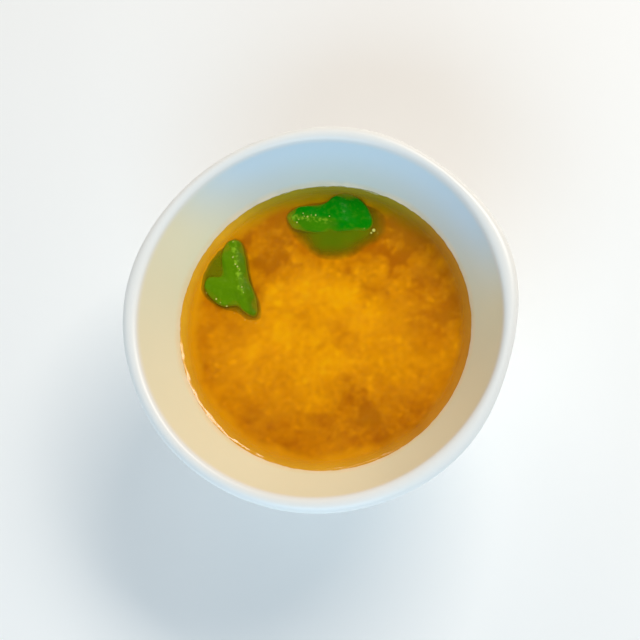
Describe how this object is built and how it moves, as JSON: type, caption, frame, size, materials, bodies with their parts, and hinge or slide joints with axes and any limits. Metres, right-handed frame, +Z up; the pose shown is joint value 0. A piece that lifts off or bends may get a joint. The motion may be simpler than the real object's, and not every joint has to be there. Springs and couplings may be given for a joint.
{
  "type": "bowl of miso soup",
  "caption": "Small white glazed bowl with a rounded lip and a foot ring, holding amber miso soup with green seaweed leaves floating in it.",
  "frame": {"origin": "on the table, under the middle of the bowl", "axes": "+Z up out of the bowl; +Y towards the far side of the bowl in the picture, where the wider leaf floats; +X to the right"},
  "size_m": [0.1205, 0.1203, 0.054],
  "materials": {
    "white_glaze": "satin white glaze, bare clay under the foot",
    "miso_broth": "wet, cloudy amber broth",
    "seaweed_leaf": "wet green leaf"
  },
  "bodies": {
    "root": {"bowl": "white_glaze", "soup": "miso_broth", "leaf_back": "seaweed_leaf", "leaf_left": "seaweed_leaf"}
  },
  "joints": []
}
